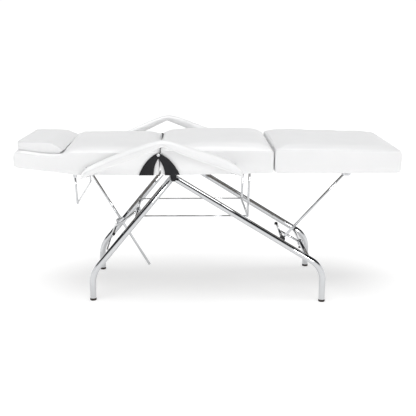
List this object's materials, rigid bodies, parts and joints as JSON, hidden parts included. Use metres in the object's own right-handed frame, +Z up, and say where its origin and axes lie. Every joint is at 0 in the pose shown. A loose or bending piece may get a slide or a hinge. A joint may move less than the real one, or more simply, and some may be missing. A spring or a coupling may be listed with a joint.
{
  "type": "facial treatment bed",
  "caption": "Padded treatment bed with tilting back rest and leg rest, swinging arm rests and a head pillow on crossed chrome tube legs.",
  "frame": {"origin": "centre of the bed on the floor", "axes": "+X towards the foot end, +Y towards the patient's left, +Z up"},
  "size_m": [1.84, 0.914, 0.8444],
  "materials": {
    "chrome": "polished chrome plate",
    "black_steel": "satin black powder coat",
    "rubber": "matt dark rubber",
    "black_plastic": "moulded black plastic",
    "vinyl": "soft white upholstery vinyl with a fine grain",
    "plywood": "raw birch plywood",
    "zinc": "bright zinc plate"
  },
  "bodies": {
    "frame": {"head_leg_right": "chrome", "head_leg_left": "chrome", "foot_leg_right": "chrome", "foot_leg_left": "chrome", "head_foot_cap_right": "rubber", "head_foot_cap_left": "rubber", "foot_foot_cap_right": "rubber", "foot_foot_cap_left": "rubber", "head_crossbar": "chrome", "foot_crossbar": "chrome", "head_lower_rod": "chrome", "stay_right": "chrome", "stay_left": "chrome", "head_anchor_arm": "chrome", "head_tee_bar": "chrome", "head_tee_cap": "black_plastic", "foot_anchor_arm": "chrome", "foot_tee_bar": "chrome", "foot_tee_cap": "black_plastic", "seat_board": "plywood", "seat_cushion": "vinyl", "seat_hinge_plate_right": "black_steel", "seat_hinge_plate_left": "black_steel", "hinge_pin_right": "zinc", "hinge_pin_left": "zinc", "pivot_bolt_right": "black_steel", "pivot_bolt_left": "black_steel", "seat_strut": "chrome", "strut_spacer_right": "zinc", "strut_spacer_left": "zinc", "legrest_hinge_seat_leaf": "zinc", "legrest_hinge_pin": "zinc", "armrest_front_bracket_right": "zinc", "armrest_front_bracket_left": "zinc"},
    "backrest": {"backrest_board": "plywood", "backrest_cushion": "vinyl", "head_pillow": "vinyl", "backrest_hinge_plate_right": "black_steel", "backrest_hinge_plate_left": "black_steel", "backrest_strut_bracket": "zinc", "rail_clip_right": "zinc", "rail_clip_left": "zinc", "armrest_rear_bracket_right": "zinc", "armrest_rear_bracket_left": "zinc"},
    "legrest": {"legrest_board": "plywood", "legrest_cushion": "vinyl", "legrest_hinge_leg_leaf": "zinc", "legrest_strut_bracket": "zinc"},
    "head_rail": {"head_rail": "chrome"},
    "backrest_block": {"backrest_swivel_block": "chrome"},
    "backrest_strut": {"backrest_strut": "chrome"},
    "legrest_block": {"legrest_swivel_block": "black_plastic"},
    "legrest_strut": {"legrest_strut": "chrome"},
    "armrest_right": {"armrest_pad_right": "vinyl", "armrest_frame_right": "black_steel"},
    "armrest_left": {"armrest_pad_left": "vinyl", "armrest_frame_left": "black_steel"},
    "head_clamp": {"head_clamp_screw": "black_plastic"},
    "foot_clamp": {"foot_clamp_screw": "black_plastic"}
  },
  "joints": [
    {"name": "backrest_tilt", "type": "hinge", "parent": "frame", "child": "backrest", "pos_m": [-0.24, 0, 0.75], "axis": [0, 1, 0], "range_deg": [0, 42]},
    {"name": "legrest_tilt", "type": "hinge", "parent": "frame", "child": "legrest", "pos_m": [0.311, 0, 0.658], "axis": [0, 1, 0], "range_deg": [0, 60]},
    {"name": "backrest_block_swivel", "type": "hinge", "parent": "frame", "child": "backrest_block", "pos_m": [-0.476, 0.13, 0.312], "axis": [0, 1, 0], "range_deg": [0, 16.5]},
    {"name": "backrest_strut_slide", "type": "slide", "parent": "backrest_block", "child": "backrest_strut", "axis": [-0.5078, 0, 0.8615], "range_m": [0, 0.29]},
    {"name": "legrest_block_swivel", "type": "hinge", "parent": "frame", "child": "legrest_block", "pos_m": [0.379, -0.13, 0.29], "axis": [0, 1, 0], "range_deg": [0, 31.5]},
    {"name": "legrest_strut_slide", "type": "slide", "parent": "legrest_block", "child": "legrest_strut", "axis": [0.6671, 0, 0.745], "range_m": [-0.36, 0]},
    {"name": "armrest_right_swing", "type": "hinge", "parent": "frame", "child": "armrest_right", "pos_m": [0.115, -0.38, 0.7], "axis": [0, 1, 0], "range_deg": [0, 21]},
    {"name": "armrest_left_swing", "type": "hinge", "parent": "frame", "child": "armrest_left", "pos_m": [0.115, 0.38, 0.7], "axis": [0, 1, 0], "range_deg": [0, 21]},
    {"name": "head_rail_fold", "type": "hinge", "parent": "backrest", "child": "head_rail", "pos_m": [-0.639, 0, 0.642], "axis": [0, 1, 0], "range_deg": [-15, 80]},
    {"name": "head_clamp_turn", "type": "hinge", "parent": "frame", "child": "head_clamp", "pos_m": [-0.358, 0, 0.39], "axis": [0, 0, -1], "range_deg": [0, 180]},
    {"name": "foot_clamp_turn", "type": "hinge", "parent": "frame", "child": "foot_clamp", "pos_m": [0.494, 0, 0.205], "axis": [0, 0, -1], "range_deg": [0, 180]}
  ],
  "couplings": [
    {"joint": "backrest_block_swivel", "follows": "backrest_tilt", "ratio": 0.3782},
    {"joint": "backrest_strut_slide", "follows": "backrest_tilt", "m_per_rad": 0.386},
    {"joint": "armrest_right_swing", "follows": "backrest_tilt", "ratio": 0.4813},
    {"joint": "armrest_left_swing", "follows": "backrest_tilt", "ratio": 0.4813},
    {"joint": "legrest_block_swivel", "follows": "legrest_tilt", "ratio": 0.512},
    {"joint": "legrest_strut_slide", "follows": "legrest_tilt", "m_per_rad": -0.3353}
  ]
}
